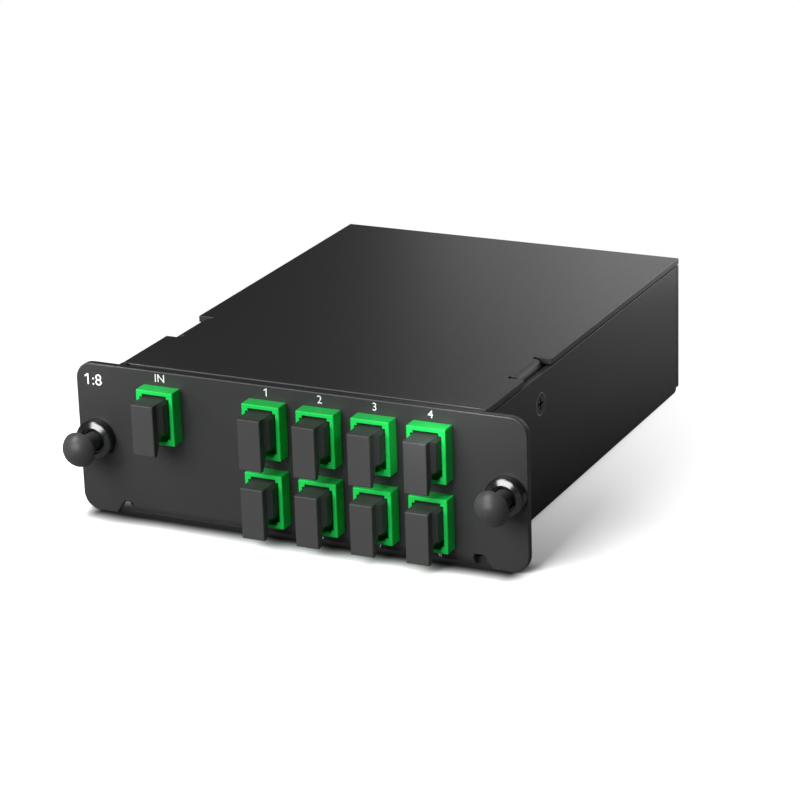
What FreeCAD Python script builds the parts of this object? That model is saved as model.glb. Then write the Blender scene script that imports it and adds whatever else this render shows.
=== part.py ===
import FreeCAD, Part
import math
import os

# One-by-eight optical splitter cassette: a folded steel tray with a panel of SC/APC
# adapters in front, a screwed cover, and the splitter with its fibres inside.
# Millimetres. X runs along the panel, +Y goes from the panel to the rear, +Z is up.
# The origin is the middle of the underside of the tray.

V = FreeCAD.Vector
AXIS_Y = V(0, 1, 0)

# ---- tray, panel and cover ----------------------------------------------------
PANEL_W = 109.0
PANEL_H = 35.0
PANEL_CORNER = 4.0
BODY_W = 88.2
DEPTH = 118.0
SHEET = 1.5
BEND_IN = 0.8
BEND_OUT = BEND_IN + SHEET
COVER_T = 1.5
COVER_GAP = 0.3
EDGE_ROUND = 0.25
LAP = 0.1
BEYOND = 1.0

HALF_W = BODY_W / 2
FRONT = -DEPTH / 2
REAR = DEPTH / 2
WALL_TOP = PANEL_H - COVER_T - COVER_GAP
RELIEF_W = 2.5
RELIEF_H = 3.0
RELIEF_ROUND = 0.6
EAR_SLANT = 2.0
WALL_START = 2.5
SEAM = 0.15
FOLD_REACH = 0.5

COVER_START = 3.0
COVER_BEND_OUT = 1.8
CORNER_GAP = 0.2
TAB_ROOT = 1.0
TAB_CENTRE = 30.5
TAB_W = 12.2
TAB_BOTTOM = 22.0
TAB_CLEAR = 0.1
SLIT_W = 1.7
SLIT_DEPTH = 3.9
TONGUE_X = 24.0
TONGUE_W = 12.0
TONGUE_BOTTOM = 27.0
TONGUE_ROUND = 1.5

SCREW_Y = 31.8
SCREW_Z = 26.5
SCREW_HEAD_R = 2.65
SCREW_SHANK_R = 1.48
SCREW_HOLE_R = 1.5
SCREW_LENGTH = 5.0
SEAT_CLEAR = 0.06
RECESS_ARM = 1.45
RECESS_W = 0.62
RECESS_DEPTH = 0.8

# ---- adapters, dust caps and what sits in them ---------------------------------
PITCH_X = 13.1
ROW_TOP = 25.45
ROW_BOTTOM = 9.6
IN_COLUMN = -2.5
PORT_COLUMNS = (-0.5, 0.5, 1.5, 2.5)

FRAME_W = 9.1
FRAME_H = 12.4
FRAME_OUT = 3.6
SHOULDER = 0.3
OPEN_W = 7.3
OPEN_H = 10.6
CORNER_STEP = 0.65
KEY_W = 2.2
KEY_DEPTH = 0.55
KEY_STOP = 2.0
ADAPTER_REAR = 24.4
ADAPTER_MID = (ADAPTER_REAR - FRAME_OUT) / 2
CUT_CLEAR = 0.1

GRIP_W = 5.4
GRIP_FRONT = 9.3
GRIP_TOP = 4.75
GRIP_BOTTOM = -6.95
GRIP_LIP = 1.1
GRIP_SLOPE_END = 6.3
PLUG_W = 7.0
PLUG_BOTTOM = -2.5
PLUG_FRONT = 6.1
PLUG_TAPER = 1.4
PLUG_SHOULDER = 0.75
PLUG_DEPTH = 4.8
PLUG_WALL = 0.8
PLUG_INSET = 0.05

HOLDER_R = 2.4
HOLDER_BORE = 1.68
HOLDER_HALF = 4.6
FLANGE_HALF = 0.5
ARM_HALF_W = 1.6
ARM_TOP = 5.1
ARM_UNDER = 4.6
ARM_TOOTH = 4.1
ARM_TOOTH_L = 1.0
SLEEVE_R = 1.6
SLEEVE_BORE = 1.26
SLEEVE_HALF = 4.5
SLEEVE_SLOT = 0.4
FERRULE_R = 1.24
FERRULE_ANGLE = 8.0
FERRULE_GAP = 0.1
FERRULE_SEAT = 3.0

CONNECTOR_W = 7.1
CONNECTOR_H = 8.8
CONNECTOR_START = ADAPTER_MID + 2.8
CONNECTOR_END = 35.0
CONNECTOR_BORE = 2.6
CONNECTOR_POCKET = 5.0
CONNECTOR_CHAMFER = 0.7
CHANNEL_R = 1.25
RIB_COUNT = 3
RIB_START = 2.5
RIB_PITCH = 2.4
RIB_W = 1.2
RIB_DEPTH = 0.35
RIB_EDGE = 1.4
BOOT_LENGTH = 14.0
BOOT_COLLAR = 3.0
BOOT_R = 2.6
BOOT_TIP_R = 1.1

CLIP_T = 0.3
CLIP_START = SHEET + 0.05
CLIP_LEAF_L = 2.4
CLIP_LEAF_LAP = 0.4
CLIP_LEAF_W = 5.0
CLIP_END = 8.0
CLIP_FLARE = 1.1

# ---- push-pull latches ---------------------------------------------------------
LATCH_X = 49.8
LATCH_Z = PANEL_H / 2
COLLAR_R = 4.5
COLLAR_T = 2.3
COLLAR_ROUND = 0.35
SEAT_R = 3.25
SHANK_R = 3.0
SHANK_END = 6.0
SHANK_LEAD = 1.2
SHANK_TIP_R = 2.5
SHANK_SLOT = 0.8
BORE_LEAD = 0.3
RUN_CLEAR = 0.08
TRAVEL = 4.8
NECK_R = 2.1
NECK_IN = 0.8
PIN_R = 1.3
BULB_R = 1.9
BULB_FRONT = 4.5
BULB_END = 5.3
TAIL_R = 1.2
TAIL_END = 6.0
HEAD_R = 4.05
HEAD_BACK = 8.0
HEAD_CONE = 0.8
HEAD_RIM = 0.5
HEAD_DOME = 3.0
HEAD_LIP = 0.4

# ---- splitter and fibres -------------------------------------------------------
SPLITTER_L = 50.0
SPLITTER_W = 7.0
SPLITTER_H = 4.0
SPLITTER_X = 1.0
SPLITTER_DEPTH = 62.0
SPLITTER_LIFT = 0.6
SPLITTER_ROUND = 0.6
END_BOOT_L = 4.0
END_BOOT_HALF_W = 3.1
END_BOOT_HALF_H = 1.8
FLOOR_CLIP_X = 17.0
FLOOR_CLIP_W = 6.0
FLOOR_CLIP_WALL = 0.8
FLOOR_CLIP_HOOK = 0.9
FLOOR_CLIP_LEAD = 0.2
FLOOR_CLIP_FOOT = 2.0
FLOOR_CLIP_CLEAR = 0.05

FIBRE_R = 0.45
FIBRE_CLEAR = 0.05
FIBRE_HOLD = 1.0
FIBRE_PITCH = 1.4
LAYER_HALF = 0.8
LEFT_RUN_X = -39.5
RIGHT_RUN_X = 41.0
REAR_RUN = 113.5
END_RADIUS = 11.0
CORNER_RADIUS = 21.5
BOOT_RUN = 58.0
RISE_AT_REAR_LEFT = 0.15
RISE_AT_REAR = 0.5


def at(depth):
    """Y of a place given as its depth behind the panel's front face."""
    return FRONT + depth


def box(x0, x1, y0, y1, z0, z1):
    return Part.makeBox(x1 - x0, y1 - y0, z1 - z0, V(x0, y0, z0))


def polygon_face(points):
    return Part.Face(Part.makePolygon(list(points) + [points[0]]))


def prism_along_x(points_yz, x0, x1):
    face = polygon_face([V(x0, y, z) for y, z in points_yz])
    return face.extrude(V(x1 - x0, 0, 0))


def prism_along_y(points_xz, y0, y1):
    face = polygon_face([V(x, y0, z) for x, z in points_xz])
    return face.extrude(V(0, y1 - y0, 0))


def turned(profile_ry, x, z):
    """Solid of revolution about the line along Y through (x, z)."""
    face = polygon_face([V(x + r, y, z) for r, y in profile_ry])
    return face.revolve(V(x, 0, z), AXIS_Y, 360)


def rod(radius, y0, y1, x, z):
    return Part.makeCylinder(radius, y1 - y0, V(x, y0, z), AXIS_Y)


def filleted_edges(points, radii):
    """Straight runs through the points, joined by tangent arcs of the given radii."""
    edges = []
    last = points[0]
    for before, corner, after, radius in zip(points, points[1:], points[2:], radii):
        into = (corner - before).normalize()
        out = (after - corner).normalize()
        turn = into.getAngle(out)
        reach = radius * math.tan(turn / 2)
        start = corner - into * reach
        end = corner + out * reach
        inward = (out - into).normalize()
        centre = corner + inward * (radius / math.cos(turn / 2))
        middle = centre - inward * radius
        edges.append(Part.LineSegment(last, start).toShape())
        edges.append(Part.Arc(start, middle, end).toShape())
        last = end
    edges.append(Part.LineSegment(last, points[-1]).toShape())
    return edges


def bent_section(outer, inner):
    """Section of a folded sheet from its outer and inner lines, both open."""
    outer_edges = filleted_edges(outer, [BEND_OUT] * (len(outer) - 2))
    inner_edges = filleted_edges(inner, [BEND_IN] * (len(inner) - 2))
    ends = [
        Part.LineSegment(outer[0], inner[0]).toShape(),
        Part.LineSegment(outer[-1], inner[-1]).toShape(),
    ]
    return Part.Face(Part.Wire(Part.__sortEdges__(outer_edges + inner_edges + ends)))


def ports():
    """Name, X and Z of each adapter, the input first and then the eight outputs."""
    places = [("in", IN_COLUMN * PITCH_X, ROW_TOP)]
    for row, height in enumerate((ROW_TOP, ROW_BOTTOM)):
        for column, step in enumerate(PORT_COLUMNS):
            number = 1 + 4 * row + column
            places.append((str(number), step * PITCH_X, height))
    return places


# ---- folded tray ---------------------------------------------------------------

def side_channel():
    """Floor and both side walls: one U-section, run between the two end folds."""
    wall = HALF_W - SHEET
    start = at(WALL_START)
    outer = [V(-HALF_W, start, WALL_TOP), V(-HALF_W, start, 0),
             V(HALF_W, start, 0), V(HALF_W, start, WALL_TOP)]
    inner = [V(-wall, start, WALL_TOP), V(-wall, start, SHEET),
             V(wall, start, SHEET), V(wall, start, WALL_TOP)]
    length = REAR - SHEET - SEAM - start
    return bent_section(outer, inner).extrude(V(0, length, 0))


def end_fold(face_y, inward):
    """The fold from the floor up into an end wall, between the corner reliefs."""
    half = HALF_W - RELIEF_W
    top = BEND_OUT + FOLD_REACH
    reach = inward * (WALL_START + SHEET)
    outer = [V(-half, face_y, top), V(-half, face_y, 0), V(-half, face_y + reach, 0)]
    inner_y = face_y + inward * SHEET
    inner = [V(-half, inner_y, top), V(-half, inner_y, SHEET),
             V(-half, face_y + reach, SHEET)]
    return bent_section(outer, inner).extrude(V(2 * half, 0, 0))


def edges_along_y(shape):
    return [e for e in shape.Edges if abs(e.tangentAt(e.FirstParameter).y) > 0.99]


def edges_at_y(shape, y):
    return [e for e in shape.Edges if abs(e.CenterOfMass.y - y) < 1e-6]


def fold_relief(y0, y1):
    """What the two corner notches and the fold itself take out of an end wall."""
    half = HALF_W - RELIEF_W
    middle = box(-half, half, y0, y1, -BEYOND, BEND_OUT)
    notches = []
    for x0 in (-HALF_W, half):
        notch = box(x0, x0 + RELIEF_W, y0, y1, -BEYOND, RELIEF_H)
        crown = [e for e in edges_along_y(notch) if e.CenterOfMass.z > 0]
        notches.append(notch.makeFillet(RELIEF_ROUND, crown))
    return middle.multiFuse(notches)


def ear_slants(y0, y1):
    """Slanted inner corners at the foot of both ears."""
    foot = HALF_W + EAR_SLANT * (1 + BEYOND / RELIEF_H)
    inner = HALF_W - RELIEF_ROUND
    cuts = []
    for side in (-1, 1):
        outline = [(side * inner, -BEYOND), (side * foot, -BEYOND),
                   (side * HALF_W, RELIEF_H), (side * inner, RELIEF_H)]
        cuts.append(prism_along_y(outline, y0, y1))
    return cuts


def front_wall():
    """Panel with its ears, before the fold is added."""
    y0 = FRONT - BEYOND
    y1 = FRONT + SHEET + BEYOND
    plate = box(-PANEL_W / 2, PANEL_W / 2, FRONT, FRONT + SHEET, 0, PANEL_H)
    plate = plate.makeFillet(PANEL_CORNER, edges_along_y(plate))
    plate = plate.makeFillet(EDGE_ROUND, edges_at_y(plate, FRONT))
    half_w = FRAME_W / 2 - SHOULDER + CUT_CLEAR
    half_h = FRAME_H / 2 - SHOULDER + CUT_CLEAR
    cuts = [box(x - half_w, x + half_w, y0, y1, z - half_h, z + half_h)
            for _, x, z in ports()]
    cuts += [rod(SEAT_R + CUT_CLEAR / 2, y0, y1, side * LATCH_X, LATCH_Z)
             for side in (-1, 1)]
    cuts.append(fold_relief(y0, y1))
    return plate.cut(cuts + ear_slants(y0, y1))


def corner_weld(side):
    """Front end of a side wall, welded to the back of the panel over its height."""
    x0, x1 = sorted((side * (HALF_W - SHEET), side * HALF_W))
    start = FRONT + SHEET - LAP
    seam = box(x0, x1, start, at(WALL_START) + LAP, RELIEF_H, WALL_TOP)
    tip = box(x0, x1, start, at(COVER_START - CORNER_GAP), WALL_TOP - LAP, PANEL_H)
    return seam.fuse(tip)


def rear_wall():
    wall = box(-HALF_W, HALF_W, REAR - SHEET, REAR, 0, WALL_TOP)
    return wall.cut(fold_relief(REAR - SHEET - BEYOND, REAR + BEYOND))


def screw_seat(side):
    """Countersunk hole for a cover screw in one side wall."""
    centre = V(side * (HALF_W + LAP), at(SCREW_Y), SCREW_Z)
    slope = (SCREW_HEAD_R - SCREW_SHANK_R) / SHEET
    wide = SCREW_HEAD_R + SEAT_CLEAR + slope * LAP
    narrow = SCREW_SHANK_R + SEAT_CLEAR - slope * LAP
    return Part.makeCone(wide, narrow, SHEET + 2 * LAP, centre, V(-side, 0, 0))


def tray():
    pieces = [end_fold(FRONT, 1), side_channel(), end_fold(REAR, -1), rear_wall()]
    pieces += [corner_weld(side) for side in (-1, 1)]
    body = front_wall().multiFuse(pieces)
    body = body.cut([screw_seat(side) for side in (-1, 1)])
    return body.removeSplitter()


# ---- cover ---------------------------------------------------------------------

def side_tab(side):
    """Tab folded down inside a side wall, which the cover screw pulls against."""
    face = HALF_W - SHEET - TAB_CLEAR
    inner_face = face - COVER_T
    top = PANEL_H
    under = PANEL_H - COVER_T
    root = face - COVER_BEND_OUT - TAB_ROOT
    y0 = at(TAB_CENTRE - TAB_W / 2)
    outer = [V(side * root, y0, top), V(side * face, y0, top),
             V(side * face, y0, TAB_BOTTOM)]
    inner = [V(side * root, y0, under), V(side * inner_face, y0, under),
             V(side * inner_face, y0, TAB_BOTTOM)]
    edges = filleted_edges(outer, [COVER_BEND_OUT])
    edges += filleted_edges(inner, [COVER_BEND_OUT - COVER_T])
    edges.append(Part.LineSegment(outer[0], inner[0]).toShape())
    edges.append(Part.LineSegment(outer[-1], inner[-1]).toShape())
    section = Part.Face(Part.Wire(Part.__sortEdges__(edges)))
    tab = section.extrude(V(0, TAB_W, 0))
    hole = Part.makeCylinder(SCREW_HOLE_R, COVER_T + 2 * LAP,
                             V(side * (face + LAP), at(SCREW_Y), SCREW_Z),
                             V(-side, 0, 0))
    return tab.cut(hole)


def side_notch(side):
    """Edge notch that lets the tab fold, with a relief slit at each end."""
    tab_root = HALF_W - SHEET - TAB_CLEAR - COVER_BEND_OUT
    slit_root = HALF_W - SLIT_DEPTH
    y0 = TAB_CENTRE - TAB_W / 2
    y1 = TAB_CENTRE + TAB_W / 2
    spans = ((y0 - SLIT_W, y0, slit_root), (y0, y1, tab_root),
             (y1, y1 + SLIT_W, slit_root))
    cuts = []
    for a, b, root in spans:
        x0, x1 = sorted((side * (HALF_W + BEYOND), side * root))
        cuts.append(box(x0, x1, at(a), at(b), PANEL_H - COVER_T - BEYOND,
                        PANEL_H + BEYOND))
    return cuts


def rear_tongue(side):
    """Short lip that drops inside the rear wall and locates the cover."""
    y1 = REAR - SHEET - TAB_CLEAR
    x0 = side * TONGUE_X - TONGUE_W / 2
    tongue = box(x0, x0 + TONGUE_W, y1 - COVER_T, y1, TONGUE_BOTTOM, PANEL_H - COVER_T)
    tips = [e for e in edges_along_y(tongue)
            if e.CenterOfMass.z < TONGUE_BOTTOM + COVER_T]
    return tongue.makeFillet(TONGUE_ROUND, tips)


def cover():
    plate = box(-HALF_W, HALF_W, at(COVER_START), REAR, PANEL_H - COVER_T, PANEL_H)
    rim = [e for e in plate.Edges if abs(e.CenterOfMass.z - PANEL_H) < 1e-6]
    plate = plate.makeFillet(EDGE_ROUND, rim)
    plate = plate.cut(side_notch(-1) + side_notch(1))
    pieces = [side_tab(side) for side in (-1, 1)]
    pieces += [rear_tongue(side) for side in (-1, 1)]
    return plate.multiFuse(pieces).removeSplitter()


def cover_screw(side):
    """Countersunk screw with a cross recess."""
    head = V(side * HALF_W, at(SCREW_Y), SCREW_Z)
    inward = V(-side, 0, 0)
    screw = Part.makeCone(SCREW_HEAD_R, SCREW_SHANK_R, SHEET, head, inward)
    shank = Part.makeCylinder(SCREW_SHANK_R, SCREW_LENGTH - SHEET,
                              head + inward * SHEET, inward)
    x0, x1 = sorted((head.x + side * BEYOND, head.x - side * RECESS_DEPTH))
    arms = []
    for half_y, half_z in ((RECESS_ARM, RECESS_W / 2), (RECESS_W / 2, RECESS_ARM)):
        arms.append(box(x0, x1, head.y - half_y, head.y + half_y,
                        head.z - half_z, head.z + half_z))
    return screw.fuse(shank).cut(arms)


# ---- adapters ------------------------------------------------------------------

def opening_outline(x, z):
    """Mouth of the adapter: a rectangle with a small step in each corner."""
    w = OPEN_W / 2
    h = OPEN_H / 2
    s = CORNER_STEP
    quarter = [(w, h - s), (w - s, h - s), (w - s, h)]
    outline = list(quarter)
    outline += [(-a, b) for a, b in reversed(quarter)]
    outline += [(-a, -b) for a, b in quarter]
    outline += [(a, -b) for a, b in reversed(quarter)]
    return [(x + a, z + b) for a, b in outline]


def adapter(x, z):
    """Square-mouthed housing: a frame in front of the panel and a body behind it."""
    half_w = FRAME_W / 2
    half_h = FRAME_H / 2
    mouth_y = at(-FRAME_OUT)
    front = box(x - half_w, x + half_w, mouth_y, FRONT, z - half_h, z + half_h)
    front = front.makeFillet(EDGE_ROUND, edges_along_y(front) + edges_at_y(front, mouth_y))
    body = box(x - half_w + SHOULDER, x + half_w - SHOULDER, at(-SHOULDER),
               at(ADAPTER_REAR), z - half_h + SHOULDER, z + half_h - SHOULDER)
    mouth = prism_along_y(opening_outline(x, z), mouth_y - BEYOND,
                          at(ADAPTER_REAR + BEYOND))
    key_x = x - OPEN_W / 2
    key = box(key_x - KEY_DEPTH, key_x + LAP, mouth_y - BEYOND,
              at(ADAPTER_MID - KEY_STOP), z - KEY_W / 2, z + KEY_W / 2)
    return front.fuse(body).cut([mouth, key]).removeSplitter()


def sleeve_holder(x, z):
    """Insert at the middle of an adapter: flange, sleeve tube and two latch arms."""
    flange = prism_along_y(opening_outline(x, z), at(ADAPTER_MID - FLANGE_HALF),
                           at(ADAPTER_MID + FLANGE_HALF))
    y0 = at(ADAPTER_MID - HOLDER_HALF)
    y1 = at(ADAPTER_MID + HOLDER_HALF)
    tube = rod(HOLDER_R, y0, y1, x, z)
    tooth_end = y0 + ARM_TOOTH_L
    arm = [(y0, ARM_UNDER), (tooth_end, ARM_TOOTH), (tooth_end, ARM_UNDER),
           (y1, ARM_UNDER), (y1, ARM_TOP), (y0, ARM_TOP)]
    arms = [prism_along_x([(y, z + up * h) for y, h in arm], x - ARM_HALF_W,
                          x + ARM_HALF_W) for up in (-1, 1)]
    bore = rod(HOLDER_BORE, y0 - BEYOND, y1 + BEYOND, x, z)
    return flange.multiFuse([tube] + arms).cut(bore)


def alignment_sleeve(x, z):
    """Split sleeve that lines the two ferrules up."""
    y0 = at(ADAPTER_MID - SLEEVE_HALF)
    y1 = at(ADAPTER_MID + SLEEVE_HALF)
    tube = rod(SLEEVE_R, y0, y1, x, z)
    bore = rod(SLEEVE_BORE, y0 - BEYOND, y1 + BEYOND, x, z)
    slot = box(x - SLEEVE_SLOT / 2, x + SLEEVE_SLOT / 2, y0 - BEYOND, y1 + BEYOND,
               z, z + SLEEVE_R + BEYOND)
    return tube.cut([bore, slot])


def adapter_clip(x, z):
    """Spring saddle over the adapter body; its two leaves bear on the panel's back."""
    in_w = FRAME_W / 2 - SHOULDER
    in_h = FRAME_H / 2 - SHOULDER
    out_w = in_w + CLIP_T
    leaf_end = at(CLIP_START + CLIP_LEAF_L)
    saddle = [(-out_w, -in_h), (-in_w, -in_h), (-in_w, in_h), (in_w, in_h),
              (in_w, -in_h), (out_w, -in_h), (out_w, in_h + CLIP_T),
              (-out_w, in_h + CLIP_T)]
    band = prism_along_y([(x + a, z + b) for a, b in saddle],
                         leaf_end - CLIP_LEAF_LAP, at(CLIP_END))
    leaves = []
    for side in (-1, 1):
        root = x + side * in_w
        outline = [(root, leaf_end), (root + side * CLIP_T, leaf_end),
                   (root + side * (CLIP_FLARE + CLIP_T), at(CLIP_START)),
                   (root + side * CLIP_FLARE, at(CLIP_START))]
        face = polygon_face([V(a, b, z - CLIP_LEAF_W / 2) for a, b in outline])
        leaves.append(face.extrude(V(0, 0, CLIP_LEAF_W)))
    return band.multiFuse(leaves)


def cap_grip(x, z, y_end):
    """Grip plate with the sloped web under it, run back as far as the plug."""
    face_y = at(-GRIP_FRONT)
    side = [(face_y, GRIP_TOP), (face_y, GRIP_BOTTOM), (face_y + GRIP_LIP, GRIP_BOTTOM),
            (at(-GRIP_SLOPE_END), PLUG_BOTTOM), (y_end, PLUG_BOTTOM), (y_end, GRIP_TOP)]
    grip = prism_along_x([(y, z + h) for y, h in side], x - GRIP_W / 2, x + GRIP_W / 2)
    return grip.makeFillet(EDGE_ROUND, edges_at_y(grip, face_y))


def cap_plug(x, z, y_end):
    """Plug with slanted shoulders, widening smoothly from the grip."""
    half = PLUG_W / 2
    flat = half - PLUG_SHOULDER
    narrow = GRIP_W / 2 - PLUG_INSET
    y_narrow = at(-PLUG_FRONT - PLUG_TAPER)
    right = [(half, PLUG_BOTTOM), (half, GRIP_TOP - PLUG_SHOULDER), (flat, GRIP_TOP)]
    section = right + [(-a, b) for a, b in reversed(right)]
    body = prism_along_y([(x + a, z + b) for a, b in section], y_narrow, y_end)
    plan = [(-narrow, y_narrow), (narrow, y_narrow), (half, at(-PLUG_FRONT)),
            (half, y_end), (-half, y_end), (-half, at(-PLUG_FRONT))]
    face = polygon_face([V(x + a, b, z + PLUG_BOTTOM) for a, b in plan])
    return body.common(face.extrude(V(0, 0, GRIP_TOP - PLUG_BOTTOM)))


def dust_cap(x, z):
    """Pull-off cap: a flat grip plate, a sloped web under it and a hollow plug."""
    y_end = at(-FRAME_OUT + PLUG_DEPTH)
    inner = PLUG_W / 2 - PLUG_WALL
    pocket = box(x - inner, x + inner, at(-FRAME_OUT), y_end + BEYOND,
                 z + PLUG_BOTTOM + PLUG_WALL, z + GRIP_TOP - PLUG_WALL)
    cap = cap_grip(x, z, y_end).fuse(cap_plug(x, z, y_end))
    return cap.cut(pocket).removeSplitter()


# ---- inner connectors, boots and ferrules --------------------------------------

def connector(x, z):
    """Housing of the inner plug, with grip ribs and a pocket round the ferrule."""
    half_w = CONNECTOR_W / 2
    half_h = CONNECTOR_H / 2
    body = box(x - half_w, x + half_w, at(CONNECTOR_START), at(CONNECTOR_END),
               z - half_h, z + half_h)
    body = body.makeChamfer(CONNECTOR_CHAMFER, edges_along_y(body))
    grooves = []
    for step in range(RIB_COUNT):
        y0 = at(ADAPTER_REAR + RIB_START + RIB_PITCH * step)
        for face in (x - half_w, x + half_w):
            grooves.append(box(face - RIB_DEPTH, face + RIB_DEPTH, y0, y0 + RIB_W,
                               z - half_h + RIB_EDGE, z + half_h - RIB_EDGE))
    pocket = rod(CONNECTOR_BORE, at(CONNECTOR_START - BEYOND),
                 at(CONNECTOR_START + CONNECTOR_POCKET), x, z)
    channel = rod(CHANNEL_R, at(CONNECTOR_START), at(CONNECTOR_END + BEYOND), x, z)
    return body.cut(grooves + [pocket, channel])


def ferrule(x, z):
    """Ceramic ferrule with an angled end face."""
    start = at(ADAPTER_MID + FERRULE_GAP)
    end = at(CONNECTOR_START + CONNECTOR_POCKET + FERRULE_SEAT)
    pin = rod(FERRULE_R, start, end, x, z)
    reach = FERRULE_R + BEYOND
    back = 2 * reach * math.tan(math.radians(FERRULE_ANGLE))
    wedge = [(start - BEYOND, z + reach), (start - BEYOND, z - reach),
             (start, z - reach), (start + back, z + reach)]
    return pin.cut(prism_along_x(wedge, x - reach, x + reach))


def boot(x, z):
    """Tapered strain relief behind a connector."""
    y0 = at(CONNECTOR_END)
    y1 = y0 + BOOT_LENGTH
    bore = FIBRE_R + FIBRE_CLEAR
    profile = [(bore, y0), (BOOT_R, y0), (BOOT_R, y0 + BOOT_COLLAR),
               (BOOT_TIP_R, y1), (bore, y1)]
    return turned(profile, x, z)


# ---- splitter, its clips and the fibres ------------------------------------------

def splitter_z():
    return SHEET + SPLITTER_LIFT + SPLITTER_H / 2


def splitter_tube():
    half_l = SPLITTER_L / 2
    half_w = SPLITTER_W / 2
    half_h = SPLITTER_H / 2
    tube = box(SPLITTER_X - half_l, SPLITTER_X + half_l,
               at(SPLITTER_DEPTH) - half_w, at(SPLITTER_DEPTH) + half_w,
               splitter_z() - half_h, splitter_z() + half_h)
    edges = [e for e in tube.Edges if abs(e.tangentAt(e.FirstParameter).x) > 0.99]
    return tube.makeFillet(SPLITTER_ROUND, edges)


def end_boot(side, exits):
    """Soft block on one end of the tube, bored where the fibres come out."""
    x0, x1 = sorted((SPLITTER_X + side * SPLITTER_L / 2,
                     SPLITTER_X + side * (SPLITTER_L / 2 + END_BOOT_L)))
    block = box(x0, x1, at(SPLITTER_DEPTH) - END_BOOT_HALF_W,
                at(SPLITTER_DEPTH) + END_BOOT_HALF_W,
                splitter_z() - END_BOOT_HALF_H, splitter_z() + END_BOOT_HALF_H)
    bores = [Part.makeCylinder(FIBRE_R + FIBRE_CLEAR, END_BOOT_L + 2 * BEYOND,
                               V(x0 - BEYOND, y, z), V(1, 0, 0)) for y, z in exits]
    return block.cut(bores)


def splitter_clip(x):
    """Floor clip: two arms with hooks hold the tube down on a thin pad."""
    half = SPLITTER_W / 2 + FLOOR_CLIP_CLEAR
    top = splitter_z() + SPLITTER_H / 2 + FLOOR_CLIP_CLEAR
    crown = top + FLOOR_CLIP_WALL
    pad_top = SHEET + SPLITTER_LIFT
    arm = half + FLOOR_CLIP_WALL
    foot = half + FLOOR_CLIP_FOOT
    side = [(half, pad_top), (half, top), (half - FLOOR_CLIP_HOOK, top),
            (half - FLOOR_CLIP_LEAD, crown), (arm, crown), (arm, pad_top),
            (foot, pad_top), (foot, SHEET)]
    outline = side + [(-a, b) for a, b in reversed(side)]
    centre = at(SPLITTER_DEPTH)
    return prism_along_x([(centre + a, b) for a, b in outline],
                         x - FLOOR_CLIP_W / 2, x + FLOOR_CLIP_W / 2)


def lane_offset(lane):
    return (lane - (len(PORT_COLUMNS) - 1) / 2) * FIBRE_PITCH


def output_exit(lane, row):
    """Where an output fibre leaves the tube; lane 0 serves the nearest column."""
    return (at(SPLITTER_DEPTH) - lane_offset(lane),
            splitter_z() + LAYER_HALF * (1 - 2 * row))


def output_fibre(lane, row, x, z):
    """From the tube's left end once round the rear of the tray and into a boot."""
    off = lane_offset(lane)
    exit_y, exit_z = output_exit(lane, row)
    climb = z - exit_z
    left = LEFT_RUN_X - off
    rear = at(REAR_RUN) + off
    start_x = SPLITTER_X - SPLITTER_L / 2 - END_BOOT_L + FIBRE_HOLD
    points = [V(start_x, exit_y, exit_z), V(left, exit_y, exit_z),
              V(left, rear, exit_z + RISE_AT_REAR_LEFT * climb),
              V(x, rear, exit_z + RISE_AT_REAR * climb),
              V(x, at(BOOT_RUN), z), V(x, at(CONNECTOR_END + FIBRE_HOLD), z)]
    corner = CORNER_RADIUS + off
    last = min(CORNER_RADIUS, x - left - corner - FIBRE_R)
    return fibre(points, [END_RADIUS + off, corner, last, END_RADIUS])


def input_fibre(x, z):
    """From the input boot round the rear and the right-hand side to the tube."""
    depth_y = at(SPLITTER_DEPTH)
    end_x = SPLITTER_X + SPLITTER_L / 2 + END_BOOT_L - FIBRE_HOLD
    points = [V(x, at(CONNECTOR_END + FIBRE_HOLD), z), V(x, at(REAR_RUN), z),
              V(RIGHT_RUN_X, at(REAR_RUN), z), V(RIGHT_RUN_X, depth_y, splitter_z()),
              V(end_x, depth_y, splitter_z())]
    return fibre(points, [CORNER_RADIUS, CORNER_RADIUS, END_RADIUS])


def fibre(points, radii):
    """Buffered fibre swept along straight runs and tangent arcs."""
    path = Part.Wire(filleted_edges(points, radii))
    start = (points[1] - points[0]).normalize()
    ring = Part.Wire(Part.makeCircle(FIBRE_R, points[0], start))
    solid = path.makePipeShell([ring], True, False)
    print("fibre", round(path.Length, 1), "mm, radii", [round(r, 1) for r in radii])
    return solid


# ---- latches ---------------------------------------------------------------------

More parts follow.
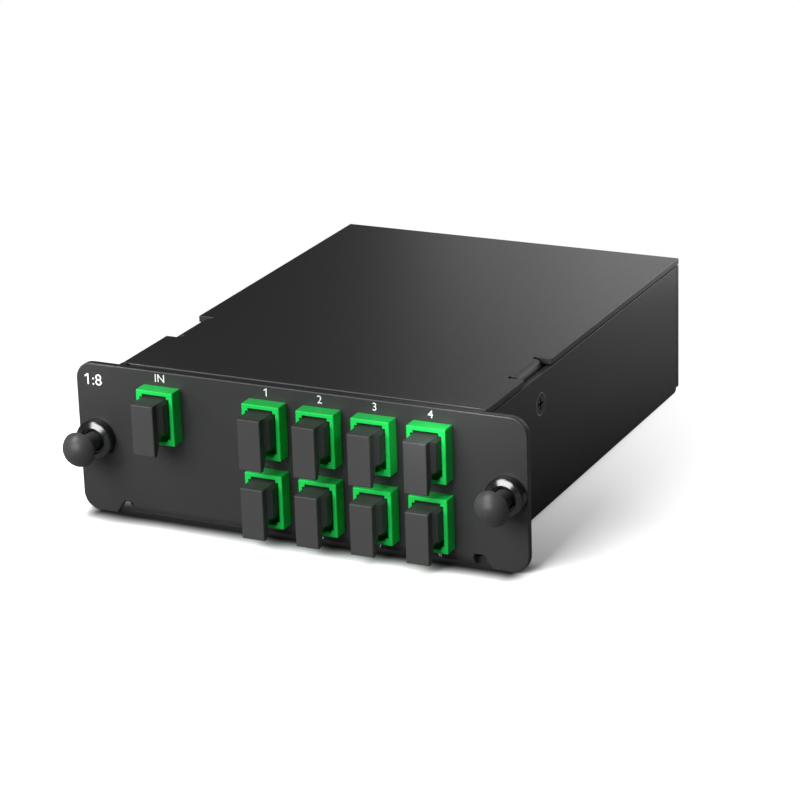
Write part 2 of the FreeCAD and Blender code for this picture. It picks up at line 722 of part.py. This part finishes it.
def latch_grommet(x):
    """Collar in front of the ear, a seat in the ear's hole and a split shank behind."""
    neck_bore = NECK_R + RUN_CLEAR
    pin_bore = PIN_R + RUN_CLEAR
    bulb_bore = BULB_R + RUN_CLEAR
    face_y = at(-COLLAR_T)
    neck_stop = at(-COLLAR_T + NECK_IN + TRAVEL + CUT_CLEAR)
    bulb_stop = at(BULB_FRONT) - RUN_CLEAR
    shank_start = at(SHEET - CUT_CLEAR)
    profile = [(neck_bore, face_y + BORE_LEAD), (neck_bore + BORE_LEAD, face_y),
               (COLLAR_R, face_y), (COLLAR_R, FRONT), (SEAT_R, FRONT),
               (SEAT_R, shank_start), (SHANK_R, shank_start),
               (SHANK_R, at(SHANK_END - SHANK_LEAD)), (SHANK_TIP_R, at(SHANK_END)),
               (bulb_bore, at(SHANK_END)), (bulb_bore, bulb_stop), (pin_bore, bulb_stop),
               (pin_bore, neck_stop), (neck_bore, neck_stop)]
    body = turned(profile, x, LATCH_Z)
    rim = [e for e in edges_at_y(body, face_y) if e.Length > 2 * math.pi * SHANK_R]
    body = body.makeFillet(COLLAR_ROUND, rim)
    slots = []
    for half_x, half_z in ((COLLAR_R, SHANK_SLOT / 2), (SHANK_SLOT / 2, COLLAR_R)):
        slots.append(box(x - half_x, x + half_x, shank_start - LAP, at(SHANK_END + BEYOND),
                         LATCH_Z - half_z, LATCH_Z + half_z))
    return body.cut(slots)


def latch_plunger(x):
    """Domed head, neck and a pin with a bulb that spreads the shank when pushed home."""

    def spot(radius, y):
        return V(x + radius, y, LATCH_Z)

    dome_base = at(-HEAD_BACK - HEAD_RIM)
    tip = spot(0, dome_base - HEAD_DOME)
    sphere_r = (HEAD_R ** 2 + HEAD_DOME ** 2) / (2 * HEAD_DOME)
    half_angle = math.asin(HEAD_R / sphere_r) / 2
    middle = spot(sphere_r * math.sin(half_angle),
                  tip.y + sphere_r * (1 - math.cos(half_angle)))
    neck_end = at(-COLLAR_T + NECK_IN)
    corners = [spot(HEAD_R, dome_base), spot(HEAD_R - HEAD_LIP, at(-HEAD_BACK)),
               spot(NECK_R, at(-HEAD_BACK + HEAD_CONE)), spot(NECK_R, neck_end),
               spot(PIN_R, neck_end), spot(PIN_R, at(BULB_FRONT)),
               spot(BULB_R, at(BULB_FRONT)), spot(BULB_R, at(BULB_END)),
               spot(TAIL_R, at(TAIL_END)), spot(0, at(TAIL_END))]
    edges = [Part.Arc(tip, middle, corners[0]).toShape()]
    for a, b in zip(corners, corners[1:] + [tip]):
        edges.append(Part.LineSegment(a, b).toShape())
    return Part.Face(Part.Wire(edges)).revolve(tip, AXIS_Y, 360)


# ---- the parts folder --------------------------------------------------------------

def build():
    nodes = {"tray": tray(), "cover": cover()}
    nodes["cover_screws"] = Part.Compound([cover_screw(side) for side in (-1, 1)])
    for name, side in (("left", -1), ("right", 1)):
        nodes["latch_grommet_" + name] = latch_grommet(side * LATCH_X)
        nodes["latch_plunger_" + name] = latch_plunger(side * LATCH_X)
    places = ports()
    for name, x, z in places:
        nodes["adapter_" + name] = adapter(x, z)
        nodes["dust_cap_" + name] = dust_cap(x, z)
        nodes["connector_" + name] = connector(x, z)
        nodes["boot_" + name] = boot(x, z)
    spots = [(x, z) for _, x, z in places]
    nodes["adapter_clips"] = Part.Compound([adapter_clip(x, z) for x, z in spots])
    nodes["sleeve_holders"] = Part.Compound([sleeve_holder(x, z) for x, z in spots])
    nodes["alignment_sleeves"] = Part.Compound([alignment_sleeve(x, z) for x, z in spots])
    nodes["ferrules"] = Part.Compound([ferrule(x, z) for x, z in spots])
    nodes["splitter_tube"] = splitter_tube()
    lanes = range(len(PORT_COLUMNS))
    exits = [output_exit(lane, row) for lane in lanes for row in (0, 1)]
    nodes["splitter_boot_out"] = end_boot(-1, exits)
    nodes["splitter_boot_in"] = end_boot(1, [(at(SPLITTER_DEPTH), splitter_z())])
    clip_places = [SPLITTER_X + side * FLOOR_CLIP_X for side in (-1, 1)]
    nodes["splitter_clips"] = Part.Compound([splitter_clip(x) for x in clip_places])
    nodes["fibre_in"] = input_fibre(*spots[0])
    for index, (name, x, z) in enumerate(places[1:]):
        row, lane = divmod(index, len(PORT_COLUMNS))
        nodes["fibre_" + name] = output_fibre(lane, row, x, z)
    return nodes


os.makedirs("parts", exist_ok=True)
for node, shape in build().items():
    shape.exportStep("parts/" + node + ".step")
    print(node, shape.ShapeType, len(shape.Solids), round(shape.Volume, 1), shape.isValid())
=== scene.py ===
# %% [markdown]
# # An optical splitter cassette
# A folded steel tray carries nine green fibre adapters on its front panel, each closed by a
# dark pull-off cap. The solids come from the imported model, and this lesson gives them their
# finishes, their printing, a floor, lights and a camera. Lengths are in metres.

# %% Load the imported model
import bpy
import bmesh
import math
from mathutils import Matrix, Vector


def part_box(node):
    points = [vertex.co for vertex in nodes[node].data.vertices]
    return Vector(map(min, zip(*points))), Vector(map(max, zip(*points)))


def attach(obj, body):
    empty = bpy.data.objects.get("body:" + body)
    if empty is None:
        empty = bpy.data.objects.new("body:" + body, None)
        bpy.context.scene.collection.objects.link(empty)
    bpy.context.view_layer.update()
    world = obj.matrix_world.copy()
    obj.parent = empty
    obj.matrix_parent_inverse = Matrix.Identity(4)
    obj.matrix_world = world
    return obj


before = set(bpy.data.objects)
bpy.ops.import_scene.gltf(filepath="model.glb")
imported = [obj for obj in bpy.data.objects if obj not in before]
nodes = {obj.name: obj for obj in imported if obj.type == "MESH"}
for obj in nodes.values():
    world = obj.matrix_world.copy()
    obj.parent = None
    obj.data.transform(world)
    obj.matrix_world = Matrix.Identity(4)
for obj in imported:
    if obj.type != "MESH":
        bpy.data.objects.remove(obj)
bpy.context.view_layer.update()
scene = bpy.context.scene

# %% [markdown]
# ## The camera
# A long lens from a low corner shows the panel and the right-hand side. A camera can be
# aimed with a constraint, but a constraint can't lean it over. So it is given as the place
# it stands in and the three angles it is turned by: heading, tilt and roll.

# %% The camera
MM = 0.001
CAMERA_AT = Vector((298.1, -623.3, 258.3)) * MM
HEADING = math.radians(25.798)
TILT = math.radians(19.551)
ROLL = math.radians(-1.796)
SENSOR = 36.0
LENS = 141.318
NEAREST = 10 * MM


def look_matrix(heading, tilt, roll):
    """Turn of a camera that looks along +Y, swung by heading, dipped by tilt, then rolled."""
    upright = Matrix.Rotation(math.pi / 2, 3, "X")
    dip = Matrix.Rotation(-tilt, 3, "X")
    swing = Matrix.Rotation(heading, 3, "Z")
    spin = Matrix.Rotation(roll, 3, "Z")
    return swing @ dip @ upright @ spin


camera_data = bpy.data.cameras.new("camera")
camera_data.sensor_width = SENSOR
camera_data.lens = LENS
camera_data.clip_start = NEAREST
camera = bpy.data.objects.new("camera", camera_data)
camera.matrix_world = Matrix.Translation(CAMERA_AT) @ look_matrix(HEADING, TILT, ROLL).to_4x4()
scene.collection.objects.link(camera)
scene.camera = camera
print("lens", round(camera_data.lens, 1), "mm, from", round(CAMERA_AT.length, 2), "m away")

# %% [markdown]
# ## A helper for finishes
# Every finish here is one Principled shader. Moulded and coated surfaces are never quite
# even, so a fine noise on object coordinates roughens them and dents them a little. The
# object's own coordinates are used, so the grain keeps its size and stays on the part when
# a cap is pulled or the view changes. A Bevel node rounds the sharp edges of the solids in
# the shading alone, which leaves their shapes as they are.

# %% A helper for finishes
GRAIN_DETAIL = 3.0
DENT_STRENGTH = 0.6
EDGE_SAMPLES = 6
SHARP_EDGE = 0.1 * MM


def finish(name, colour, roughness, grain, dent, uneven=0.0, metallic=0.0, shine=0.5,
           edge=SHARP_EDGE):
    """A procedural finish: grain is the noise's size, dent its depth, edge the edges' radius."""
    made = bpy.data.materials.new(name)
    made.use_nodes = True
    tree = made.node_tree
    shader = tree.nodes["Principled BSDF"]
    shader.inputs["Base Color"].default_value = (*colour, 1.0)
    shader.inputs["Roughness"].default_value = roughness
    shader.inputs["Metallic"].default_value = metallic
    shader.inputs["Specular IOR Level"].default_value = shine
    place = tree.nodes.new("ShaderNodeTexCoord")
    noise = tree.nodes.new("ShaderNodeTexNoise")
    noise.inputs["Scale"].default_value = 1.0 / grain
    noise.inputs["Detail"].default_value = GRAIN_DETAIL
    tree.links.new(place.outputs["Object"], noise.inputs["Vector"])
    bump = tree.nodes.new("ShaderNodeBump")
    bump.inputs["Strength"].default_value = DENT_STRENGTH
    bump.inputs["Distance"].default_value = dent
    tree.links.new(noise.outputs["Fac"], bump.inputs["Height"])
    soft_edge = tree.nodes.new("ShaderNodeBevel")
    soft_edge.samples = EDGE_SAMPLES
    soft_edge.inputs["Radius"].default_value = edge
    tree.links.new(soft_edge.outputs["Normal"], bump.inputs["Normal"])
    tree.links.new(bump.outputs["Normal"], shader.inputs["Normal"])
    if uneven:
        spread = tree.nodes.new("ShaderNodeMapRange")
        spread.inputs["To Min"].default_value = roughness - uneven
        spread.inputs["To Max"].default_value = roughness + uneven
        tree.links.new(noise.outputs["Fac"], spread.inputs["Value"])
        tree.links.new(spread.outputs["Result"], shader.inputs["Roughness"])
    return made


def dress(material, *names):
    """Give CAD nodes a finish."""
    for name in names:
        slots = nodes[name].data.materials
        slots.clear()
        slots.append(material)


def named(prefix):
    """The CAD nodes whose names start with a word."""
    return [name for name in nodes if name.startswith(prefix)]


print("adapters and their clips:", len(named("adapter_")))

# %% [markdown]
# ## Sheet metal
# The tray and its cover are folded steel under black powder coat: satin, with the faint
# orange peel that baked powder leaves. The screws are blacker and smoother. Paint isn't
# metal to the light, so both are dielectric finishes and the steel below isn't modelled.

# %% Sheet metal
powder = finish("black_powder_coat", (0.022, 0.022, 0.023), roughness=0.44, grain=0.0006,
                dent=0.00002, uneven=0.05, edge=0.0003)
screw_black = finish("black_oxide", (0.012, 0.012, 0.013), roughness=0.32, grain=0.0004,
                     dent=0.000005)
dress(powder, "tray", "cover")
dress(screw_black, "cover_screws")
print("sheet metal:", powder.name, "and", screw_black.name)

# %% [markdown]
# ## Plastics outside
# The adapters are a bright, slightly glossy green and the caps a soft dark grey. The knobs
# are satin, and their collars polished black nylon. Moulded plastic has a finer grain than
# powder coat and almost no depth to it, so its dents are a few thousandths of a millimetre.

# %% Plastics outside
green = finish("green_plastic", (0.013, 0.57, 0.085), roughness=0.30, grain=0.0008,
               dent=0.000004, uneven=0.04, shine=0.12, edge=0.0002)
cap_grey = finish("dark_cap_plastic", (0.046, 0.046, 0.047), roughness=0.50, grain=0.0005,
                  dent=0.000006, uneven=0.05, shine=0.30, edge=0.0002)
nylon = finish("polished_nylon", (0.008, 0.008, 0.009), roughness=0.12, grain=0.002,
               dent=0.000003, uneven=0.03)
knob_black = finish("satin_knob", (0.042, 0.042, 0.042), roughness=0.42, grain=0.002,
                    dent=0.000003, uneven=0.03, shine=0.25)
dress(green, *named("adapter_"), *named("connector_"))
dress(cap_grey, *named("dust_cap_"))
dress(nylon, *named("latch_grommet_"))
dress(knob_black, *named("latch_plunger_"))
print("caps:", len(named("dust_cap_")), "knobs:", len(named("latch_plunger_")))

# %% [markdown]
# ## Parts inside
# With a cap pulled off, the white insert and the ceramic ferrule show in the socket. The
# boots are rubber, the fibres have a pale jacket, and the clips and the splitter's tube are
# bare steel. The clips' name starts as the adapters' do, so they are dressed after them.

# %% Parts inside
white = finish("white_insert", (0.78, 0.78, 0.75), roughness=0.45, grain=0.0008, dent=0.000004)
rubber = finish("boot_rubber", (0.03, 0.03, 0.03), roughness=0.6, grain=0.0005, dent=0.00001)
jacket = finish("fibre_jacket", (0.80, 0.77, 0.60), roughness=0.4, grain=0.0006, dent=0.000004)
ceramic = finish("ceramic", (0.85, 0.85, 0.83), roughness=0.15, grain=0.001, dent=0.000001)
spring_steel = finish("spring_steel", (0.62, 0.62, 0.60), roughness=0.3, grain=0.0003,
                      dent=0.000004, uneven=0.08, metallic=1.0)
dress(white, "sleeve_holders", "splitter_clips")
dress(rubber, *named("boot_"), *named("splitter_boot"))
dress(jacket, *named("fibre_"))
dress(ceramic, "ferrules", "alignment_sleeves")
dress(spring_steel, "adapter_clips", "splitter_tube")
print("dressed", len(nodes), "nodes")

# %% [markdown]
# ## Turned rings
# Two kinds of small turned ring catch the light on this object. A cylinder with its edges
# bevelled could make them. A profile spun round an axis is shorter and gives every radius
# exactly. Spinning can turn a surface inside out, so its normals are put right afterwards.

# %% The tool for turned rings
ROUND_STEPS = 96
WELD = 0.001 * MM


def spun(name, outline, centre, axis, material):
    """A closed outline of (radius, distance along the axis) points, turned all the way round."""
    across = Vector((0, 0, 1))
    shape = bmesh.new()
    ring = [shape.verts.new(centre + across * radius + axis * along) for radius, along in outline]
    edges = [shape.edges.new((ring[i], ring[(i + 1) % len(ring)])) for i in range(len(ring))]
    bmesh.ops.spin(shape, geom=ring + edges, cent=centre, axis=axis, angle=2 * math.pi,
                   steps=ROUND_STEPS, use_merge=True, use_duplicate=False)
    bmesh.ops.remove_doubles(shape, verts=shape.verts, dist=WELD)
    bmesh.ops.recalc_face_normals(shape, faces=shape.faces)
    mesh = bpy.data.meshes.new(name)
    shape.to_mesh(mesh)
    shape.free()
    mesh.materials.append(material)
    piece = bpy.data.objects.new(name, mesh)
    scene.collection.objects.link(piece)
    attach(piece, "cassette")
    print(piece.name, len(mesh.polygons), "faces")
    return piece


# %% [markdown]
# ## Latch bevels
# A latch's collar has a polished lead-in round its bore, which guides the knob's neck. It
# could be cut into the collar, but the solids stay as they are here. So it is a ring with a
# three-cornered profile that stands on the collar's face, with its place read from the box.

# %% Latch bevels
BEVEL_IN = 3.05 * MM
BEVEL_OUT = 4.3 * MM
BEVEL_RISE = 0.5 * MM
rim_black = finish("polished_rim", (0.008, 0.008, 0.009), roughness=0.17, grain=0.002,
                   dent=0.000002, uneven=0.02, shine=1.0)
bevel_outline = [(BEVEL_IN, -BEVEL_RISE), (BEVEL_OUT, 0.0), (BEVEL_IN, 0.0)]

for side in ("left", "right"):
    low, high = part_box("latch_grommet_" + side)
    middle = (low + high) / 2
    face = Vector((middle.x, low.y, middle.z))
    spun("latch_bevel_" + side, bevel_outline, face, Vector((0, 1, 0)), rim_black)

# %% [markdown]
# ## Screw rims
# Each cover screw sits in a thin light grey ring, a painted highlight on its countersink's edge.
# A ring-shaped colour on the wall's material would do from afar. A thin ring of its own
# keeps its edge crisp close up, and lies a twentieth of a millimetre proud of the wall.

# %% Screw rims
RIM_THICK = 0.05 * MM
RIM_WIDTH = 0.28 * MM
# A light grey that paints a highlight round each screw head.
rim_highlight_grey = finish("screw_rim_painted_highlight", (0.30, 0.30, 0.30), roughness=0.40, grain=0.0004,
                   dent=0.000002, uneven=0.05)

low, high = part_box("cover_screws")
middle = (low + high) / 2
head = (high.z - low.z) / 2
rim_outline = [(head - RIM_WIDTH, -RIM_THICK), (head, -RIM_THICK),
               (head, RIM_THICK), (head - RIM_WIDTH, RIM_THICK)]
for side, x in (("left", low.x), ("right", high.x)):
    spun("screw_rim_" + side, rim_outline, Vector((x, middle.y, middle.z)),
         Vector((1, 0, 0)), rim_highlight_grey)
print("screw head radius", round(head / MM, 2), "mm")

# %% [markdown]
# ## White printing
# The ports are numbered in white ink, and the input is marked. Screen ink is a flat layer
# a few hundredths of a millimetre thick. A painted texture would be flat too, but it has no
# mesh of its own, so each mark starts as a text curve with a little extrusion and is made a
# mesh, which can then be cut, bent and measured.

# %% Letter shapes
TEXT_DEPTH = 0.02
TEXT_CURVES = 6
TEXT_WELD = 0.0001


def corners(points):
    """Lowest and highest corner of some points."""
    return (Vector([min(p[i] for p in points) for i in range(3)]),
            Vector([max(p[i] for p in points) for i in range(3)]))


def drawn(name, text):
    """The mesh of a text curve with a little extrusion."""
    curve = bpy.data.curves.new(name, "FONT")
    curve.body = text
    curve.resolution_u = TEXT_CURVES
    curve.extrude = TEXT_DEPTH
    writing = bpy.data.objects.new(name + "_curve", curve)
    scene.collection.objects.link(writing)
    bpy.context.view_layer.update()
    ready = writing.evaluated_get(bpy.context.evaluated_depsgraph_get())
    mesh = bpy.data.meshes.new_from_object(ready)
    bpy.data.objects.remove(writing)
    return mesh


print("curved strokes have", TEXT_CURVES, "steps")

# %% [markdown]
# ## Closed letters
# A text curve's mesh has a front, a back and sides that only touch, so they are welded, and
# the normals are put right while the letters are still flat. The font's figure one is a
# plain stem. Printed ones have a slanting stroke at the top, so a small face beside the
# stem is extruded to the letters' own thickness.

# %% Closed letters
FLAG_REACH = 1.7
FLAG_THICK = 1.2
FLAG_SLOPE = 0.75


def flag(shape, low, high):
    """The slanting stroke at the top left of a figure one whose stem fills a box."""
    stem = high.x - low.x
    reach = FLAG_REACH * stem
    thick = FLAG_THICK * stem
    outline = [(0, 0), (0, -thick), (-reach, -thick - FLAG_SLOPE * reach),
               (-reach, -FLAG_SLOPE * reach)]
    back = shape.faces.new([shape.verts.new((low.x + x, high.y + y, low.z)) for x, y in outline])
    grown = bmesh.ops.extrude_face_region(shape, geom=[back], use_keep_orig=True)
    front = [piece for piece in grown["geom"] if isinstance(piece, bmesh.types.BMVert)]
    bmesh.ops.translate(shape, verts=front, vec=(0, 0, high.z - low.z))


def lettering(name, text):
    """A line of text as a closed mesh that faces outwards, still in the font's own units."""
    mesh = drawn(name, text)
    shape = bmesh.new()
    shape.from_mesh(mesh)
    bmesh.ops.remove_doubles(shape, verts=shape.verts, dist=TEXT_WELD)
    if text.startswith("1"):
        flag(shape, *corners([v.co for v in drawn(name + "_one", "1").vertices]))
    bmesh.ops.recalc_face_normals(shape, faces=shape.faces)
    return mesh, shape


print("a figure one's stroke reaches", FLAG_REACH, "stems to the left")

# %% [markdown]
# ## Ink that follows the panel
# The lower numbers sit on the panel's bottom bend, where the sheet curves back into the
# floor. A Shrinkwrap could lay them on it. The bend is a plain arc, so the marks are cut
# into level slices and each point is set on the arc instead, which keeps them exact.

# %% Ink on the panel
ink = finish("white_ink", (0.86, 0.86, 0.86), roughness=0.5, grain=0.0003, dent=0.000001,
             uneven=0.05)
PANEL_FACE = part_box("tray")[0].y
BEND_RADIUS = 2.3 * MM
INK_THICK = 0.04 * MM
SLICES = 6


def face_at(up):
    """Y of the panel's face at a height: flat, and curving back below the bend's top."""
    drop = max(0.0, BEND_RADIUS - up)
    return PANEL_FACE + BEND_RADIUS - math.sqrt(BEND_RADIUS ** 2 - drop ** 2)


def printed(name, text, height, left=None, centre=None, base=0.0):
    """A line of print on the panel, placed by its left end or its centre and its base line."""
    mesh, shape = lettering(name, text)
    low, high = corners([v.co for v in shape.verts])
    size = height / (high.y - low.y)
    thin = INK_THICK / (high.z - low.z)
    across = left if centre is None else centre - size * (high.x - low.x) / 2
    for step in range(1, SLICES):
        level = low.y + (high.y - low.y) * step / SLICES
        everything = shape.verts[:] + shape.edges[:] + shape.faces[:]
        bmesh.ops.bisect_plane(shape, geom=everything, plane_co=(0, level, 0), plane_no=(0, 1, 0))
    for v in shape.verts:
        x, y, z = v.co
        up = base + size * (y - low.y)
        v.co = (across + size * (x - low.x), face_at(up) - thin * (z - low.z), up)
    shape.to_mesh(mesh)
    shape.free()
    mesh.name = name
    mesh.materials.clear()
    mesh.materials.append(ink)
    mark = bpy.data.objects.new(name, mesh)
    scene.collection.objects.link(mark)
    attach(mark, "cassette")
    return mark


print("panel's face at y =", round(PANEL_FACE / MM, 2), "mm")

# %% [markdown]
# ## The marks
# Each upper mark stands over its own adapter and reads its place from that adapter's box.
# The lower numbers stand in one line of even steps under the lower adapters. A loop over the
# port names makes them all, so their heights and gaps are written once.

# %% The marks
DIGIT_HEIGHT = 1.8 * MM
LABEL_GAP = 0.9 * MM
LABEL_SHIFT = 0.4 * MM
LOW_DIGIT_HEIGHT = 1.3 * MM
LOW_DIGIT_BASE = 0.95 * MM
LOW_DIGIT_START = -8.9 * MM
LOW_DIGIT_STEP = 14.2 * MM
RATIO_HEIGHT = 2.6 * MM
RATIO_LEFT = -52.3 * MM
RATIO_BASE = 29.9 * MM

for port in ("in", "1", "2", "3", "4"):
    low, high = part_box("adapter_" + port)
    printed("mark_" + port, port.upper(), DIGIT_HEIGHT, base=high.z + LABEL_GAP,
            centre=(low.x + high.x) / 2 - LABEL_SHIFT)
for place, port in enumerate(("5", "6", "7", "8")):
    printed("mark_" + port, port, LOW_DIGIT_HEIGHT, base=LOW_DIGIT_BASE,
            centre=LOW_DIGIT_START + LOW_DIGIT_STEP * place)
ratio = printed("mark_ratio", "1:8", RATIO_HEIGHT, left=RATIO_LEFT, base=RATIO_BASE)
print("ratio mark", [round(side / MM, 2) for side in ratio.dimensions], "mm")

# %% [markdown]
# ## Small tools for nodes
# A node tree that is written out link by link is long and hard to follow. Each small job
# gets a function here that makes one node, links it and gives back its output, so a whole
# material reads as one sum.

# %% Small tools for nodes
def diffuse(tree, level):
    """A matt grey shader."""
    made = tree.nodes.new("ShaderNodeBsdfDiffuse")
    made.inputs["Color"].default_value = (level, level, level, 1.0)
    return made.outputs[0]


def glowing(tree, strength):
    """A shader that gives off white light of its own."""
    made = tree.nodes.new("ShaderNodeEmission")
    made.inputs["Strength"].default_value = strength
    return made.outputs[0]


def mixed(tree, factor, first, second):
    """The first shader where the factor is 0 and the second where it is 1."""
    made = tree.nodes.new("ShaderNodeMixShader")
    tree.links.new(factor, made.inputs["Fac"])
    tree.links.new(first, made.inputs[1])
    tree.links.new(second, made.inputs[2])
    return made.outputs[0]


def ramp(tree, value, start, end, low=0.0, high=1.0, kind="SMOOTHSTEP"):
    """A step from low to high as the value goes from start to end."""
    made = tree.nodes.new("ShaderNodeMapRange")
    made.interpolation_type = kind
    for socket, number in (("From Min", start), ("From Max", end),
                           ("To Min", low), ("To Max", high)):
        made.inputs[socket].default_value = number
    tree.links.new(value, made.inputs["Value"])
    return made.outputs["Result"]


def maths(tree, operation, *values):
    """One arithmetic step on links and numbers."""
    made = tree.nodes.new("ShaderNodeMath")
    made.operation = operation
    for socket, value in zip(made.inputs, values):
        if isinstance(value, float):
            socket.default_value = value
        else:
            tree.links.new(value, socket)
    return made.outputs[0]


node_tools = (diffuse, glowing, mixed, ramp, maths)
print("tools for nodes:", ", ".join(tool.__name__ for tool in node_tools))

# %% [markdown]
# ## The floor's finish
# The cassette stands on a plain white sweep. A white sheet lit to full white would throw
# too much light back at black paint. So the camera sees a bright floor, and all other rays
# see a grey one. Behind the panel the floor fades into pure white, which hides where it ends
# and lightens the cassette's shadow towards the back, a painted fade of that shadow. A soft
# dark strip of painted shade lies in front of the panel, where it meets the floor. The strip
# is placed by the floor's own coordinates, so it stays there in every view.

# %% The floor's finish
FLOOR_LIT = 1.9
FLOOR_GLOW = 0.08
FLOOR_BOUNCE = 0.3
# Grey of the painted shade strip at the panel's foot.
SHADE_BLACK = 0.02
# Reach of the painted fade that lightens the cassette's shadow behind the panel.
SHADE_REACH = 130 * MM
FOOT_REACH = 9.5 * MM
FOOT_DEPTH = 4 * MM
FOOT_HALF = 57 * MM
FOOT_END = 7 * MM


def foot_clear(tree, across, along):
    """1 on the open floor, falling to 0 in the strip of painted shade at the panel's foot."""
    before = ramp(tree, along, PANEL_FACE - FOOT_REACH, PANEL_FACE)
    behind = ramp(tree, along, PANEL_FACE + FOOT_DEPTH, PANEL_FACE + 2 * FOOT_DEPTH, 1.0, 0.0)
    beside = ramp(tree, maths(tree, "ABSOLUTE", across), FOOT_HALF - FOOT_END, FOOT_HALF,
                  1.0, 0.0)
    shade = maths(tree, "MULTIPLY", before, maths(tree, "MULTIPLY", behind, beside))
    return maths(tree, "SUBTRACT", 1.0, shade)


def floor_material():
    """White to the camera, and still able to take the object's shadow."""
    made = bpy.data.materials.new("white_sweep")
    made.use_nodes = True
    tree = made.node_tree
    tree.nodes.clear()
    place = tree.nodes.new("ShaderNodeTexCoord")
    split = tree.nodes.new("ShaderNodeSeparateXYZ")
    tree.links.new(place.outputs["Object"], split.inputs[0])
    add = tree.nodes.new("ShaderNodeAddShader")
    tree.links.new(diffuse(tree, FLOOR_LIT), add.inputs[0])
    tree.links.new(glowing(tree, FLOOR_GLOW), add.inputs[1])
    clear = foot_clear(tree, split.outputs["X"], split.outputs["Y"])
    # Painted shade: in the strip at the panel's foot the floor turns to a near-black diffuse.
    near = mixed(tree, clear, diffuse(tree, SHADE_BLACK), add.outputs[0])
    # Painted light: behind the panel the floor turns to plain white glow, lightening the
    # cassette's shadow towards the back.
    far = ramp(tree, split.outputs["Y"], PANEL_FACE, PANEL_FACE + SHADE_REACH, kind="LINEAR")
    seen = mixed(tree, far, near, glowing(tree, 1.0))
    rays = tree.nodes.new("ShaderNodeLightPath")
    either = mixed(tree, rays.outputs["Is Camera Ray"], diffuse(tree, FLOOR_BOUNCE), seen)
    out = tree.nodes.new("ShaderNodeOutputMaterial")
    tree.links.new(either, out.inputs["Surface"])
    return made


print("floor shades over", round(SHADE_REACH / MM), "mm")

# %% [markdown]
# ## The floor
# One large flat square is enough, because it fades to white long before its edge. It lies a
# little below the cassette, so that the two never share a surface.

# %% The floor
FLOOR_HALF = 3.0
FLOOR_DROP = 0.2 * MM

floor_mesh = bpy.data.meshes.new("floor")
shape = bmesh.new()
bmesh.ops.create_grid(shape, x_segments=1, y_segments=1, size=FLOOR_HALF)
shape.to_mesh(floor_mesh)
shape.free()
floor_mesh.materials.append(floor_material())
floor = bpy.data.objects.new("floor", floor_mesh)
floor.location.z = -FLOOR_DROP
scene.collection.objects.link(floor)
print("floor", 2 * FLOOR_HALF, "m square")

# %% [markdown]
# ## The world
# The backdrop is white to the camera. To all other rays it is a dim grey, because the light
# on the cassette should come from its lamps: a white room all round would wash the black
# paint out. The Light Path node tells the two kinds of ray apart.

# %% The world
WORLD_FILL = 0.05
world = bpy.data.worlds.new("studio")
scene.world = world
world.use_nodes = True
sky = world.node_tree
sky.nodes.clear()


def backdrop(strength):
    """A white background of some strength."""
    made = sky.nodes.new("ShaderNodeBackground")
    made.inputs["Color"].default_value = (1.0, 1.0, 1.0, 1.0)
    made.inputs["Strength"].default_value = strength
    return made.outputs[0]


sky_rays = sky.nodes.new("ShaderNodeLightPath")
sky_out = sky.nodes.new("ShaderNodeOutputWorld")
sky_seen = mixed(sky, sky_rays.outputs["Is Camera Ray"], backdrop(WORLD_FILL), backdrop(1.0))
sky.links.new(sky_seen, sky_out.inputs["Surface"])
print("world fill", WORLD_FILL)

# %% [markdown]
# ## The lamps
# A large softbox at the front left lights the panel and the caps, and a smaller one above
# softens its shadows. Black paint shows its shape by what it reflects, so low cards close
# behind the cassette graze the cover, and two beside it graze the right-hand wall. They give
# both their long fade from dark at the front to grey at the rear. A small lamp over each
# knob puts a highlight on its dome and its collar. The camera sees none of them.

# %% The lamps
FRONT_LAMPS = (
    # name, where it stands, where it points, width, height, watts
    ("key", (-0.196, -0.785, 0.395), (0, 0, 0.02), 0.60, 0.45, 9.1),
    ("top_left", (-0.24, -0.28, 0.47), (0, -0.05, 0.02), 0.20, 0.20, 0.5),
)
REAR_LAMPS = (
    ("rear_back", (0.0, 0.26, 0.10), (0, 0.05, 0.03), 0.24, 0.10, 0.08),
    ("rear_high", (0.10, 0.20, 0.16), (0.03, 0.05, 0.03), 0.16, 0.10, 0.014),
    ("rear_close", (0.03, 0.17, 0.10), (0.01, 0.05, 0.03), 0.14, 0.10, 0.025),
    ("wall_low", (0.085, 0.11, 0.03), (0.044, 0.05, 0.015), 0.06, 0.04, 0.013),
    ("wall_high", (0.075, 0.09, 0.06), (0.044, 0.05, 0.015), 0.06, 0.04, 0.017),
)
KNOB_LAMP_FROM = Vector((-12, -9.5, 27.5)) * MM
KNOB_LAMP_SIZE = 12 * MM
KNOB_LAMP_POWER = 0.008
KNOB_DEPTH = 2 * MM


def softbox(name, place, aim, width, height, power):
    """A rectangular area light turned towards a point."""
    data = bpy.data.lights.new(name, "AREA")
    data.shape = "RECTANGLE"
    data.size = width
    data.size_y = height
    data.energy = power
    lamp = bpy.data.objects.new(name, data)
    turn = (Vector(place) - Vector(aim)).to_track_quat("Z", "Y").to_matrix().to_4x4()
    lamp.matrix_world = Matrix.Translation(place) @ turn
    lamp.visible_camera = False
    scene.collection.objects.link(lamp)


for lamp_row in FRONT_LAMPS:
    softbox(*lamp_row)
for side in ("left", "right"):
    low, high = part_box("latch_plunger_" + side)
    dome = Vector(((low.x + high.x) / 2, low.y + KNOB_DEPTH, (low.z + high.z) / 2))
    softbox("knob_" + side, dome + KNOB_LAMP_FROM, dome, KNOB_LAMP_SIZE, KNOB_LAMP_SIZE,
            KNOB_LAMP_POWER)
for lamp_row in REAR_LAMPS:
    softbox(*lamp_row)
print("lamps:", len(bpy.data.lights))

# %% [markdown]
# ## Finish
# The Standard view transform shows colours as they are written.

# %% Finish
scene.view_settings.view_transform = "Standard"
